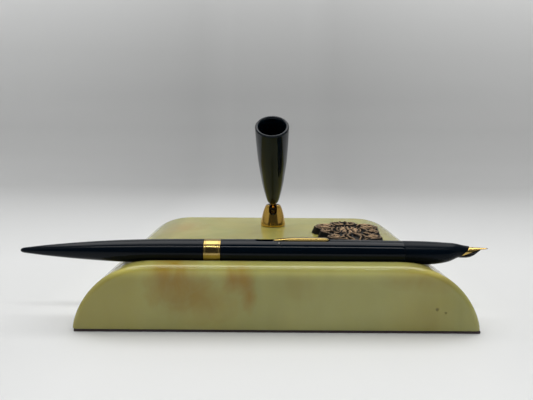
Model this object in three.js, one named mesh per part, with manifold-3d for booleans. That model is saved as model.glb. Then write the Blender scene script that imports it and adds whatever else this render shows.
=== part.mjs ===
// Desk pen set: an onyx slab with a pen groove, a swivelling ball socket that carries a trumpet
// pen holder, a cast ornament, and a slim lever-filling desk fountain pen lying in the groove.
// Millimetres, +Z up, +X towards the nib, +Y towards the back of the base.
// The origin is the centre of the face that the set stands on.
import * as THREE from "three";
import { mergeVertices } from "three/addons/utils/BufferGeometryUtils.js";
import Module from "manifold-3d";

const wasm = await Module();
wasm.setup();

// ---------------------------------------------------------------- driving dimensions
const BASE_W = 153.9; // a little over 6 in
const BASE_D = 103.4; // a little over 4 in
const BASE_Y = 0.9; // middle of the stone, front to back
const STONE_H = 24.4;
const FELT_T = 1.2; // stone and felt together are about 1 in
const TOP = FELT_T + STONE_H;
const END_W = 32.2; // how far each rounded end reaches in from the side
const END_N = 2.5; // fullness of the end curve near the foot
const END_M = 1.5; // fullness of the end curve near the top
const EDGE = 2.2; // rounded edge around the front and back faces, except along the foot

const GROOVE_Y = -38;
const GROOVE_R = 6.2;
const GROOVE_DEPTH = 2.8;

const SOCKET_X = -0.3;
const SOCKET_Y = 28;
const PIVOT_Z = 34.15;
const SWIVEL_DEG = -2.6; // the slot faces forward and very slightly to the left
const TILT_DEG = 39; // the trumpet leans forward out of the slot
const BALL_R = 3.25;
const SLOT_W = 4.2;

const STUD_R = 2.45;
const STUD_HOLE_R = 2.9;
const COUNTERBORE_R = 9;
const COUNTERBORE_DEPTH = 8;

const BADGE_X = 35.3;
const BADGE_Y = 1.4;

const PEN_Y = GROOVE_Y;
const PEN_Z = TOP + 2.35;
const BORE_R = 3.85; // inside the barrel
const LEVER_X = 0.8;
const LEVER_Z = 4.05;
const SLOT_X0 = -8.2;
const SLOT_X1 = 20.9;
const NIB_R = 1.9;
const NIB_T = 0.3;
const NIB_CZ = 0.65; // the nib sits above the pen's own axis

// ---------------------------------------------------------------- materials
const mat = (name, color, roughness, metalness) =>
  new THREE.MeshStandardMaterial({ name, color, roughness, metalness });
const M = {
  onyx: mat("onyx", 0xa3a56c, 0.22, 0),
  felt: mat("felt", 0x241a1c, 0.95, 0),
  brass: mat("brass", 0xb8862f, 0.22, 1),
  steel: mat("steel", 0x9a9a98, 0.35, 1),
  black: mat("black_plastic", 0x0a0c0f, 0.18, 0),
  liner: mat("liner_plastic", 0x060708, 0.5, 0),
  gold: mat("gold_plate", 0xd2a23c, 0.2, 1),
  rubber: mat("sac_rubber", 0x101010, 0.8, 0),
  nylon: mat("nylon", 0xd8d4c4, 0.5, 0),
  bronze: mat("antique_bronze", 0x8a5c40, 0.45, 1),
  iridium: mat("iridium", 0xc8c8c4, 0.3, 1),
};

// ---------------------------------------------------------------- helpers
// A closed geometry as a manifold solid, with collapsed triangles dropped and faces turned outward.
function solid(geometry) {
  const loose = geometry.index ? geometry.toNonIndexed() : geometry.clone();
  for (const name of Object.keys(loose.attributes))
    if (name !== "position") loose.deleteAttribute(name);
  const g = mergeVertices(loose, 1e-4);
  const p = g.attributes.position.array;
  const index = g.index.array;
  const tri = [];
  let volume = 0;
  const v = (i) => new THREE.Vector3(p[3 * i], p[3 * i + 1], p[3 * i + 2]);
  for (let i = 0; i < index.length; i += 3) {
    const [a, b, c] = [index[i], index[i + 1], index[i + 2]];
    if (a === b || b === c || c === a) continue;
    tri.push(a, b, c);
    volume += v(a).dot(v(b).cross(v(c))) / 6;
  }
  if (volume < 0)
    for (let i = 0; i < tri.length; i += 3)
      [tri[i + 1], tri[i + 2]] = [tri[i + 2], tri[i + 1]];
  return new wasm.Manifold(
    new wasm.Mesh({
      numProp: 3,
      vertProperties: new Float32Array(p),
      triVerts: new Uint32Array(tri),
    }),
  );
}

function geometryOf(s) {
  const m = s.getMesh();
  const g = new THREE.BufferGeometry();
  const count = m.vertProperties.length / m.numProp;
  const v = new Float32Array(count * 3);
  for (let i = 0; i < count; i++)
    v.set(m.vertProperties.subarray(i * m.numProp, i * m.numProp + 3), i * 3);
  g.setAttribute("position", new THREE.BufferAttribute(v, 3));
  g.setIndex(new THREE.BufferAttribute(new Uint32Array(m.triVerts), 1));
  g.computeVertexNormals();
  return g;
}

const union = (...s) => s.reduce((a, b) => a.add(b));
const cut = (a, ...s) => s.reduce((x, y) => x.subtract(y), a);
const pts = (list) => list.map(([r, y]) => new THREE.Vector2(r, y));

// Solids of revolution: the profile is [radius, height] from axis to axis.
const latheGeoZ = (profile, sides) =>
  new THREE.LatheGeometry(pts(profile), sides).rotateX(Math.PI / 2);
const latheGeoX = (profile, sides) =>
  new THREE.LatheGeometry(pts(profile), sides).rotateZ(-Math.PI / 2);
const latheZ = (profile, sides = 32) => solid(latheGeoZ(profile, sides));
const latheX = (profile, sides = 24) => solid(latheGeoX(profile, sides));

const cylZ = (r, z0, z1, x = 0, y = 0, sides = 24) =>
  solid(
    new THREE.CylinderGeometry(r, r, z1 - z0, sides)
      .rotateX(Math.PI / 2)
      .translate(x, y, (z0 + z1) / 2),
  );
const cylX = (r, x0, x1, y = 0, z = 0, sides = 24) =>
  solid(
    new THREE.CylinderGeometry(r, r, x1 - x0, sides)
      .rotateZ(Math.PI / 2)
      .translate((x0 + x1) / 2, y, z),
  );
const cylY = (r, y0, y1, x = 0, z = 0, sides = 24) =>
  solid(
    new THREE.CylinderGeometry(r, r, y1 - y0, sides).translate(
      x,
      (y0 + y1) / 2,
      z,
    ),
  );
const box = (x0, x1, y0, y1, z0, z1) =>
  solid(
    new THREE.BoxGeometry(x1 - x0, y1 - y0, z1 - z0).translate(
      (x0 + x1) / 2,
      (y0 + y1) / 2,
      (z0 + z1) / 2,
    ),
  );

// A side view in X and Z, extruded from y0 to y1.
const sideExtrude = (outline, y0, y1) =>
  solid(
    new THREE.ExtrudeGeometry(new THREE.Shape(pts(outline)), {
      depth: y1 - y0,
      bevelEnabled: false,
    })
      .rotateX(Math.PI / 2)
      .translate(0, y1, 0),
  );
// A plan view in X and Y, extruded from z0 to z1.
const planExtrude = (shape, z0, z1, extra = {}) =>
  solid(
    new THREE.ExtrudeGeometry(shape, {
      depth: z1 - z0,
      bevelEnabled: false,
      ...extra,
    }).translate(0, 0, z0),
  );

// Linear interpolation in a table of [x, value].
function table(rows, x) {
  if (x <= rows[0][0]) return rows[0][1];
  for (let i = 1; i < rows.length; i++)
    if (x <= rows[i][0]) {
      const [x0, a] = rows[i - 1];
      const [x1, b] = rows[i];
      return a + ((b - a) * (x - x0)) / (x1 - x0);
    }
  return rows[rows.length - 1][1];
}
// Moves every vertex of a geometry with a function of its place.
function deform(geometry, fn) {
  const p = geometry.attributes.position;
  for (let i = 0; i < p.count; i++)
    p.setXYZ(i, ...fn(p.getX(i), p.getY(i), p.getZ(i)));
  return geometry;
}

const root = new THREE.Group();
root.name = "desk_pen_set";
function piece(parent, name, s, material) {
  const mesh = new THREE.Mesh(geometryOf(s), material);
  mesh.name = name;
  parent.add(mesh);
  return mesh;
}

// ---------------------------------------------------------------- stone base
const outline = [];
const END_STEPS = 14;
for (let i = 0; i <= END_STEPS; i++) {
  const t = (i / END_STEPS) * (Math.PI / 2);
  outline.push([
    BASE_W / 2 - END_W + END_W * Math.pow(Math.cos(t), 2 / END_N),
    FELT_T + STONE_H * Math.pow(Math.sin(t), 2 / END_M),
  ]);
}
outline[END_STEPS] = [BASE_W / 2 - END_W, TOP];
// The foot is drawn lower and sawn off flat, so that its edge stays square.
outline.unshift([BASE_W / 2, FELT_T - 2 * EDGE]);
const mirrored = outline.map(([x, z]) => [-x, z]).reverse();
const stoneShape = new THREE.Shape(pts([...outline, ...mirrored]));
let stone = solid(
  new THREE.ExtrudeGeometry(stoneShape, {
    depth: BASE_D - 2 * EDGE,
    bevelEnabled: true,
    bevelThickness: EDGE,
    bevelSize: EDGE,
    bevelOffset: -EDGE,
    bevelSegments: 4,
  })
    .rotateX(Math.PI / 2)
    .translate(0, BASE_Y + BASE_D / 2 - EDGE, 0),
);
stone = cut(
  stone,
  box(-90, 90, -60, 60, FELT_T - 4 * EDGE, FELT_T),
  cylX(
    GROOVE_R,
    -90,
    90,
    GROOVE_Y,
    TOP - GROOVE_DEPTH + GROOVE_R,
    36,
  ),
  cylZ(STUD_HOLE_R, 0, TOP + 1, SOCKET_X, SOCKET_Y),
  cylZ(
    COUNTERBORE_R,
    0,
    FELT_T + COUNTERBORE_DEPTH,
    SOCKET_X,
    SOCKET_Y,
    32,
  ),
  cylZ(1.25, TOP - 3.6, TOP + 1, BADGE_X, BADGE_Y + 9, 16),
  cylZ(1.25, TOP - 3.6, TOP + 1, BADGE_X, BADGE_Y - 9, 16),
);
piece(root, "stone_base", stone, M.onyx);

// Felt, cut a little smaller than the stone.
const feltShape = new THREE.Shape();
{
  const [x0, x1, y0, y1, r] = [-76.2, 76.7, -50.6, 52.0, 1.2];
  feltShape.moveTo(x0 + r, y0);
  feltShape.lineTo(x1 - r, y0);
  feltShape.quadraticCurveTo(x1, y0, x1, y0 + r);
  feltShape.lineTo(x1, y1 - r);
  feltShape.quadraticCurveTo(x1, y1, x1 - r, y1);
  feltShape.lineTo(x0 + r, y1);
  feltShape.quadraticCurveTo(x0, y1, x0, y1 - r);
  feltShape.lineTo(x0, y0 + r);
  feltShape.quadraticCurveTo(x0, y0, x0 + r, y0);
}
piece(
  root,
  "felt_pad",
  planExtrude(feltShape, 0, FELT_T, { curveSegments: 3 }),
  M.felt,
);

// ---------------------------------------------------------------- cast ornament
// Half outline of a leaf-scroll cartouche, from the foot to the crest.
const badgeHalf = [
  [0, -22.8],
  [3.6, -21.6],
  [6.6, -19.2],
  [10.2, -18.6],
  [12.8, -16.2],
  [12.6, -13.0],
  [10.4, -10.6],
  [11.4, -7.4],
  [14.0, -4.6],
  [14.6, -1.2],
  [13.6, 2.2],
  [15.6, 5.6],
  [16.4, 9.6],
  [15.0, 13.2],
  [11.4, 15.2],
  [8.4, 15.4],
  [7.2, 17.4],
  [6.6, 20.2],
  [3.6, 21.8],
  [0, 23.4],
];
const badgeCurve = new THREE.CatmullRomCurve3(
  [
    ...badgeHalf.slice(1, -1).map(([x, y]) => new THREE.Vector3(x, y, 0)),
    new THREE.Vector3(0, badgeHalf[19][1], 0),
    ...badgeHalf
      .slice(1, -1)
      .reverse()
      .map(([x, y]) => new THREE.Vector3(-x, y, 0)),
    new THREE.Vector3(0, badgeHalf[0][1], 0),
  ],
  true,
  "catmullrom",
  0.5,
);
const badgeShape = new THREE.Shape(
  badgeCurve.getPoints(60).slice(0, 60).map((p) => new THREE.Vector2(p.x, p.y)),
);
const domeAt = (x, y, rx, ry, h, z0) =>
  solid(
    new THREE.SphereGeometry(1, 14, 8)
      .rotateX(Math.PI / 2)
      .scale(rx, ry, h)
      .translate(x, y, z0),
  );
// The plate's sides lean in toward the top, as a casting leaves its mould.
let badge = solid(
  deform(
    new THREE.ExtrudeGeometry(badgeShape, { depth: 2.5, bevelEnabled: false }),
    (x, y, z) => {
      const k = 1.02 - 0.026 * z;
      return [x * k, y * k, z];
    },
  ),
);
badge = union(
  badge,
  domeAt(0, 0.6, 6.6, 8.4, 1.5, 2.35),
  domeAt(10.6, 10.2, 4.3, 3.6, 1.35, 2.35),
  domeAt(-10.6, 10.2, 4.3, 3.6, 1.35, 2.35),
  domeAt(0, 18.0, 4.0, 4.0, 1.4, 2.35),
  domeAt(8.4, -14.6, 3.4, 2.6, 1.3, 2.35),
  domeAt(-8.4, -14.6, 3.4, 2.6, 1.3, 2.35),
  domeAt(0, -17.4, 3.6, 3.6, 1.4, 2.35),
  cylZ(1.0, -3.2, 0.3, 0, 9, 12),
  cylZ(1.0, -3.2, 0.3, 0, -9, 12),
);
piece(root, "ornament_casting", badge, M.bronze).position.set(
  BADGE_X,
  BADGE_Y,
  TOP,
);

// ---------------------------------------------------------------- socket fixings
const fixings = new THREE.Group();
fixings.position.set(SOCKET_X, SOCKET_Y, 0);
root.add(fixings);
const CB_TOP = FELT_T + COUNTERBORE_DEPTH; // 9.2

// Round plate and stud in one piece: the housing turns around the plate.
piece(
  fixings,
  "pivot_stud",
  latheZ(
    [
      [0, 2.3],
      [2.1, 2.3],
      [STUD_R, 2.7],
      [STUD_R, TOP],
      [3.4, TOP],
      [3.4, TOP + 0.75],
      [4.55, TOP + 0.8],
      [4.55, TOP + 1.85],
      [3.0, TOP + 1.85],
      [0, TOP + 1.85],
    ],
    24,
  ),
  M.brass,
);
piece(
  fixings,
  "flat_washer",
  cut(
    cylZ(6.5, CB_TOP - 1.2, CB_TOP, 0, 0, 24),
    cylZ(2.65, CB_TOP - 2, CB_TOP + 1),
  ),
  M.steel,
);
piece(
  fixings,
  "spring_washer",
  cut(
    cylZ(4.6, CB_TOP - 2.35, CB_TOP - 1.25, 0, 0, 24),
    cylZ(2.65, CB_TOP - 3, CB_TOP),
    box(2, 6, -0.45, 0.45, CB_TOP - 3, CB_TOP),
  ),
  M.steel,
);
piece(
  fixings,
  "hex_nut",
  cut(
    latheZ(
      [
        [0, 2.9],
        [4.1, 2.9],
        [4.62, 3.2],
        [4.62, 6.45],
        [4.1, 6.8],
        [0, 6.8],
      ],
      6,
    ),
    cylZ(2.6, 2, 8),
  ),
  M.steel,
);

// ---------------------------------------------------------------- swivel housing
const swivel = new THREE.Group();
swivel.position.set(SOCKET_X, SOCKET_Y, 0);
swivel.rotation.z = THREE.MathUtils.degToRad(SWIVEL_DEG);
root.add(swivel);

const P = PIVOT_Z;
const seat = [];
for (let i = 0; i <= 4; i++) {
  const a = (i / 4) * Math.acos(2.3 / 3.4);
  seat.push([3.4 * Math.cos(a), P + 3.4 * Math.sin(a)]);
}
let housing = cut(
  latheZ(
    [
      [0, TOP + 0.1],
      [6.12, TOP + 0.1],
      [6.4, TOP + 0.35],
      [6.46, TOP + 0.8],
      [6.4, TOP + 1.3],
      [6.25, TOP + 2.4],
      [5.96, TOP + 4.0],
      [5.62, TOP + 5.6],
      [5.22, TOP + 7.2],
      [4.73, TOP + 8.8],
      [4.3, TOP + 9.9],
      [3.95, TOP + 10.6],
      [3.6, TOP + 11.05],
      [3.15, TOP + 11.3],
      [2.5, TOP + 11.3],
      [0, TOP + 11.3],
    ],
    30,
  ),
  latheZ(
    [
      [0, TOP - 1],
      [3.6, TOP - 1],
      [3.6, TOP + 0.6],
      [4.75, TOP + 0.65],
      [4.75, TOP + 2.0],
      [3.4, TOP + 2.3],
      ...seat,
      [2.45, TOP + 11.45],
      [2.45, TOP + 13],
      [0, TOP + 13],
    ],
    30,
  ),
  box(-SLOT_W / 2, SLOT_W / 2, -10, 0, P, P + 8),
  cylY(SLOT_W / 2, -10, 0, 0, P, 20),
);
piece(swivel, "swivel_housing", housing, M.brass);

// Compression spring under the ball.
class Helix extends THREE.Curve {
  constructor(r, z0, z1, turns) {
    super();
    Object.assign(this, { r, z0, z1, turns });
  }
  getPoint(t, target = new THREE.Vector3()) {
    const a = t * this.turns * 2 * Math.PI;
    return target.set(
      this.r * Math.cos(a),
      this.r * Math.sin(a),
      this.z0 + (this.z1 - this.z0) * t,
    );
  }
}
const wire = new THREE.Shape();
wire.absarc(0, 0, 0.22, 0, 2 * Math.PI, false);
piece(
  swivel,
  "friction_spring",
  solid(
    new THREE.ExtrudeGeometry(wire, {
      steps: 44,
      curveSegments: 3,
      bevelEnabled: false,
      extrudePath: new Helix(2.5, TOP + 2.2, TOP + 3.75, 2.75),
    }),
  ),
  M.steel,
);
// Cup that presses the ball up into its seat.
piece(
  swivel,
  "ball_follower",
  cut(
    latheZ(
      [
        [0, TOP + 4.05],
        [3.0, TOP + 4.05],
        [3.25, TOP + 4.3],
        [3.25, TOP + 6.4],
        [0, TOP + 6.4],
      ],
      28,
    ),
    solid(new THREE.SphereGeometry(3.36, 20, 12).rotateX(Math.PI / 2).translate(0, 0, P)),
  ),
  M.nylon,
);

// ---------------------------------------------------------------- ball and trumpet
const tilt = new THREE.Group();
tilt.position.set(0, 0, PIVOT_Z);
tilt.rotation.x = THREE.MathUtils.degToRad(TILT_DEG);
swivel.add(tilt);

const ballArc = [];
for (let i = 0; i <= 9; i++) {
  const a = -Math.PI / 2 + (i / 9) * (Math.PI / 2 + Math.acos(1.6 / BALL_R));
  ballArc.push([i === 0 ? 0 : BALL_R * Math.cos(a), BALL_R * Math.sin(a)]);
}
piece(
  tilt,
  "ball_stem",
  latheZ(
    [
      ...ballArc,
      [1.5, 4.3],
      [1.55, 5.2],
      [2.0, 5.9],
      [2.1, 6.3],
      [2.1, 7.0],
      [1.3, 7.05],
      [1.3, 13.0],
      [1.05, 13.3],
      [0, 13.3],
    ],
    20,
  ),
  M.brass,
);
const trumpet = cut(
  latheZ(
    [
      [0, 7.15],
      [2.35, 7.15],
      [2.86, 7.32],
      [3.12, 7.85],
      [3.53, 9.6],
      [4.1, 12.6],
      [4.85, 17.0],
      [5.46, 21.5],
      [5.9, 25.6],
      [6.35, 30.0],
      [6.82, 35.2],
      [7.14, 40.7],
      [7.33, 45.0],
      [7.49, 49.5],
      [7.59, 53.2],
      [7.62, 54.8],
      [7.5, 55.3],
      [7.18, 55.55],
      [0, 55.55],
    ],
    32,
  ),
  latheZ(
    [
      [0, 6],
      [1.42, 6],
      [1.42, 10.4],
      [2.42, 10.4],
      [2.42, 14.0],
      [2.95, 14.6],
      [3.5, 18.0],
      [4.4, 24.0],
      [5.05, 30.0],
      [5.45, 36.0],
      [5.75, 42.0],
      [5.95, 50.0],
      [6.05, 54.6],
      [6.4, 55.6],
      [6.4, 57],
      [0, 57],
    ],
    32,
  ),
);
piece(tilt, "trumpet_shell", trumpet, M.black);
piece(
  tilt,
  "trumpet_liner",
  cut(
    latheZ(
      [
        [0, 14.9],
        [2.7, 14.9],
        [3.32, 18.0],
        [4.2, 24.0],
        [4.85, 30.0],
        [5.25, 36.0],
        [5.52, 41.5],
        [5.6, 44.0],
        [0, 44.0],
      ],
      24,
    ),
    latheZ(
      [
        [0, 15.8],
        [2.1, 15.8],
        [2.7, 18.0],
        [3.6, 24.0],
        [4.25, 30.0],
        [4.7, 36.0],
        [5.0, 41.5],
        [5.3, 44.2],
        [5.3, 46],
        [0, 46],
      ],
      24,
    ),
  ),
  M.liner,
);
piece(
  tilt,
  "stem_nut",
  cut(
    latheZ(
      [
        [0, 10.6],
        [2.28, 10.6],
        [2.28, 12.6],
        [0, 12.6],
      ],
      6,
    ),
    cylZ(1.42, 10, 13, 0, 0, 20),
  ),
  M.brass,
);

// ---------------------------------------------------------------- desk pen
const pen = new THREE.Group();
pen.position.set(0, PEN_Y, PEN_Z);
root.add(pen);

piece(
  pen,
  "tail_taper",
  latheX([
    [0, -100.4],
    [0.45, -100.25],
    [0.78, -99.85],
    [0.98, -99.2],
    [1.12, -98.2],
    [1.55, -94.8],
    [1.97, -91.3],
    [2.33, -87.8],
    [2.66, -84.4],
    [3.12, -79.2],
    [3.52, -74.0],
    [3.87, -68.8],
    [4.15, -63.6],
    [4.38, -58.5],
    [4.58, -52.5],
    [4.72, -46.3],
    [4.82, -38.0],
    [4.87, -30.0],
    [4.87, -28.5],
    [3.7, -28.5],
    [3.7, -19.2],
    [3.4, -19.0],
    [0, -19.0],
  ]),
  M.black,
);
piece(
  pen,
  "trim_band",
  cut(
    latheX([
      [0, -28.35],
      [4.85, -28.35],
      [4.95, -28.2],
      [4.95, -22.05],
      [4.85, -21.9],
      [0, -21.9],
    ]),
    cylX(4.5, -30, -20, 0, 0, 24),
  ),
  M.gold,
);
let barrel = cut(
  latheX([
    [0, -28.4],
    [4.38, -28.4],
    [4.38, -21.8],
    [4.88, -21.8],
    [4.93, -16],
    [4.97, -8],
    [4.97, 22],
    [4.9, 34],
    [4.8, 42],
    [4.7, 49.3],
    [0, 49.3],
  ]),
  cylX(BORE_R, -30, 51, 0, 0, 24),
  // the lever slot has round ends
  box(SLOT_X0 + 1.9, SLOT_X1 - 1.9, -1.9, 1.9, 0, 7),
  cylZ(1.9, 0, 7, SLOT_X0 + 1.9, 0, 20),
  cylZ(1.9, 0, 7, SLOT_X1 - 1.9, 0, 20),
  cylY(0.5, -4, 4, LEVER_X, LEVER_Z, 12),
);
piece(pen, "barrel", barrel, M.black);
piece(pen, "lever_pin", cylY(0.4, -2.5, 2.5, LEVER_X, LEVER_Z, 12), M.steel);

// Lever: its long arm lies in the slot, its short arm reaches the pressure bar.
const leverSide = sideExtrude(
  [
    [-1.7, 4.25],
    [-1.6, 3.9],
    [-2.3, 3.6],
    [-2.38, 3.25],
    [-2.05, 3.0],
    [0.5, 3.0],
    [1.8, 3.25],
    [4.0, 4.15],
    [18.4, 4.25],
    [19.8, 4.4],
    [20.4, 4.9],
    [20.25, 5.3],
    [19.6, 5.62],
    [18.6, 5.78],
    [12.0, 5.8],
    [5.0, 5.7],
    [1.5, 5.4],
    [-1.1, 5.0],
    [-1.55, 4.75],
  ],
  -1.6,
  1.6,
);
const leverPlan = new THREE.Shape();
leverPlan.moveTo(-4, -1.1);
leverPlan.lineTo(-1.6, -1.15);
leverPlan.lineTo(3, -1.4);
leverPlan.lineTo(9, -1.5);
leverPlan.lineTo(18.9, -1.5);
leverPlan.absarc(18.9, 0, 1.5, -Math.PI / 2, Math.PI / 2, false);
leverPlan.lineTo(9, 1.5);
leverPlan.lineTo(3, 1.4);
leverPlan.lineTo(-1.6, 1.15);
leverPlan.lineTo(-4, 1.1);
const lever = cut(
  leverSide.intersect(planExtrude(leverPlan, 0, 8, { curveSegments: 8 })),
  cylY(0.5, -4, 4, LEVER_X, LEVER_Z, 12),
);
piece(pen, "filling_lever", lever, M.gold);

// Pressure bar with its hooked spring end.
piece(
  pen,
  "pressure_bar",
  union(
    box(-16.5, 24, -1.6, 1.6, 2.35, 2.75),
    sideExtrude(
      [
        [-15.5, 2.35],
        [-16.6, 2.35],
        [-17.3, 2.6],
        [-17.5, 3.0],
        [-17.2, 3.35],
        [-16.6, 3.55],
        [-12.0, 3.55],
        [-12.0, 3.25],
        [-16.5, 3.25],
        [-16.9, 3.1],
        [-17.0, 2.95],
        [-16.8, 2.8],
        [-16.4, 2.75],
        [-15.5, 2.75],
      ],
      -0.9,
      0.9,
    ),
  ),
  M.steel,
);

// Rubber ink sac, closed at the tail end and open where it slips over the section's nipple.
const sacDrop = (x) =>
  table(
    [
      [20, -0.6],
      [23, -0.5],
      [26, -0.2],
      [28.5, 0],
    ],
    x,
  );
const sacPart = (profile) =>
  solid(
    deform(latheGeoX(profile, 18), (x, y, z) => [x, y, z + sacDrop(x)]),
  );
piece(
  pen,
  "ink_sac",
  cut(
    sacPart([
      [0, -16.8],
      [1.6, -16.6],
      [2.4, -15.6],
      [2.75, -14.2],
      [2.75, 20],
      [2.75, 23],
      [2.65, 26],
      [2.5, 28.5],
      [2.5, 37.5],
      [0, 37.5],
    ]),
    sacPart([
      [0, -16.3],
      [1.3, -16.1],
      [2.0, -15.3],
      [2.3, -14.0],
      [2.3, 20],
      [2.3, 23],
      [2.2, 26],
      [2.05, 28.5],
      [2.05, 39],
      [0, 39],
    ]),
  ),
  M.rubber,
);

// Gripping section: a plug and nipple inside the barrel, and a hood that closes over the nib.
const sectionRise = (x) =>
  table(
    [
      [58.6, 0],
      [62.4, 0.06],
      [65.9, 0.22],
      [67.8, 0.45],
      [69.4, 0.75],
      [70.8, 0.97],
      [72.3, 0.92],
      [74.0, 0.77],
      [76.5, 0.6],
    ],
    x,
  );
const hood = solid(
  deform(
    latheGeoX(
      [
        [0, 29.2],
        [1.9, 29.2],
        [1.9, 39.0],
        [3.75, 39.0],
        [3.75, 49.45],
        [4.6, 49.45],
        [4.68, 49.7],
        [4.66, 53.0],
        [4.62, 56.0],
        [4.55, 58.6],
        [4.32, 62.4],
        [3.95, 65.9],
        [3.62, 67.8],
        [3.2, 69.4],
        [2.76, 70.8],
        [2.48, 72.3],
        [2.28, 74.0],
        [2.12, 76.5],
        [0, 76.5],
      ],
      26,
    ),
    (x, y, z) => [x, y, z + sectionRise(x)],
  ),
);
const mouthCut = solid(
  new THREE.BoxGeometry(20, 12, 20)
    .translate(10, 0, 0)
    .rotateY(THREE.MathUtils.degToRad(45))
    .translate(73.2, 0, 0.66),
);
piece(
  pen,
  "grip_section",
  cut(
    hood,
    mouthCut,
    cylX(NIB_R + 0.07, 59.5, 82, 0, NIB_CZ, 24),
    cylX(0.75, 28, 61, 0, 0, 16),
  ),
  M.black,
);

// Nib: a curled gold sheet with shoulders that sweep up to the tip.
const nibRadius = (x) =>
  table(
    [
      [73, NIB_R],
      [75, 1.82],
      [77, 1.62],
      [79, 1.32],
      [81, 0.98],
      [82.3, 0.8],
    ],
    x,
  );
const nibTop = (x) =>
  table(
    [
      [73, NIB_CZ + NIB_R],
      [79, NIB_CZ + NIB_R - 0.22],
      [82.3, NIB_CZ + NIB_R - 0.42],
    ],
    x,
  );
function curl(outer, inner, half, x0, x1, steps) {
  const shape = new THREE.Shape();
  shape.absarc(0, 0, outer, Math.PI / 2 - half, Math.PI / 2 + half, false);
  shape.absarc(0, 0, inner, Math.PI / 2 + half, Math.PI / 2 - half, true);
  const g = new THREE.ExtrudeGeometry(shape, {
    depth: x1 - x0,
    steps,
    curveSegments: 10,
    bevelEnabled: false,
  });
  // local x -> y, local y -> z, local z -> x
  return deform(g, (a, b, c) => {
    const x = x0 + c;
    const rho = Math.hypot(a, b);
    const R = nibRadius(x) - (NIB_R - rho);
    const k = R / rho;
    return [x, a * k, b * k + nibTop(x) - nibRadius(x)];
  });
}
const HALF = THREE.MathUtils.degToRad(142);
const nibSide = sideExtrude(
  [
    [60.4, -3],
    [71.6, -3],
    [72.6, -0.7],
    [74.6, 0.2],
    [76.6, 1.0],
    [78.4, 1.55],
    [80.2, 1.82],
    [82.4, 1.86],
    [82.4, 4],
    [60.4, 4],
  ],
  -4,
  4,
);
const nib = cut(
  solid(curl(NIB_R, NIB_R - NIB_T, HALF, 60.4, 82.3, 11)).intersect(nibSide),
  box(77.0, 83, -0.07, 0.07, 1.2, 4),
  cylZ(0.36, 1.2, 4, 76.8, 0, 12),
);
piece(pen, "nib", nib, M.gold);
piece(
  pen,
  "nib_tip",
  solid(
    new THREE.SphereGeometry(1, 12, 8)
      .scale(0.36, 0.3, 0.28)
      .translate(82.72, 0, 1.98),
  ),
  M.iridium,
);

// Feed: a tapering keel under the nib.
const feedTop = (x) =>
  table(
    [
      [73, 2.12],
      [77, 1.9],
      [80.2, 1.72],
    ],
    x,
  );
const feedLow = (x) =>
  table(
    [
      [60, -1.12],
      [71.4, -1.12],
      [71.8, -1.72],
      [72.4, -1.84],
      [74.6, -1.84],
      [76.2, -1.5],
      [77.6, -0.78],
      [78.8, 0.12],
      [79.8, 1.05],
      [80.2, 1.5],
    ],
    x,
  );
const feedHalf = (x) =>
  table(
    [
      [72, 1.42],
      [75, 1.35],
      [78, 1.0],
      [80.2, 0.45],
    ],
    x,
  );
const feedBody = solid(
  deform(
    latheGeoX(
      [
        [0, 60.4],
        [1, 60.4],
        [1, 71.4],
        [1, 71.8],
        [1, 72.4],
        [1, 73.4],
        [1, 74.5],
        [1, 75.4],
        [1, 76.2],
        [1, 77.0],
        [1, 77.6],
        [1, 78.2],
        [1, 78.8],
        [1, 79.4],
        [1, 79.8],
        [1, 80.2],
        [0, 80.2],
      ],
      16,
    ),
    (x, y, z) => {
      const t = feedTop(x);
      const b = feedLow(x);
      return [x, y * feedHalf(x), (t + b) / 2 + (z * (t - b)) / 2];
    },
  ),
);
const feed = cut(
  feedBody,
  solid(
    curl(
      NIB_R + 0.6,
      NIB_R - NIB_T - 0.08,
      THREE.MathUtils.degToRad(148),
      59.5,
      83,
      11,
    ),
  ),
);
piece(pen, "feed", feed, M.black);

export default root;
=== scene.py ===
import math

import bmesh
import bpy
from mathutils import Matrix, Vector, noise


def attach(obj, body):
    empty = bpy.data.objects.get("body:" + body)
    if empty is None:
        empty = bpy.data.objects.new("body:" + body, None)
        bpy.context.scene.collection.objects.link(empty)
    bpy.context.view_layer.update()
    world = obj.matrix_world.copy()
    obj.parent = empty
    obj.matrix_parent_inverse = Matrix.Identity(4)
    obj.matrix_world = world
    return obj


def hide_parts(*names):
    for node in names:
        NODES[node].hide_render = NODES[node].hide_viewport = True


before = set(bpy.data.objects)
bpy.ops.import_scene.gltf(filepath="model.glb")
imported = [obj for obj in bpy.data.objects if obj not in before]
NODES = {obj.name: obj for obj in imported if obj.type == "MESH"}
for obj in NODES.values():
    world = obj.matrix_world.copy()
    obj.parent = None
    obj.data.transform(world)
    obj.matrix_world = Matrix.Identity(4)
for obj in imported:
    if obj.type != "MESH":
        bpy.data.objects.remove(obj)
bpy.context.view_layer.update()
MM = 0.001

# ------------------------------------------------------------------ dimensions (mm)
BASE_W = 153.9
BASE_FRONT, BASE_BACK = -50.8, 52.6
EDGE = 2.2
FELT_T = 1.2
STONE_H = 24.4
TOP = FELT_T + STONE_H
END_W, END_N, END_M = 32.2, 2.5, 1.5
GROOVE_Y, GROOVE_R, GROOVE_DEPTH = -38.0, 6.2, 2.8
SOCKET = Vector((-0.3, 28.0, 0.0))
PIVOT_Z = 34.15
SWIVEL, TILT = math.radians(-2.6), math.radians(39)
BADGE = (35.3, 1.4)
PEN_Y, PEN_Z = -38.0, TOP + 2.35
LEVER_X, LEVER_Z = 0.8, 4.05
NIB_R, NIB_T, NIB_CZ = 1.9, 0.3, 0.65

PEN_M = Matrix.Translation(Vector((0, PEN_Y, PEN_Z)))
SWIVEL_M = Matrix.Translation(SOCKET) @ Matrix.Rotation(SWIVEL, 4, "Z")
TILT_M = SWIVEL_M @ Matrix.Translation(Vector((0, 0, PIVOT_Z))) @ Matrix.Rotation(TILT, 4, "X")


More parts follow.
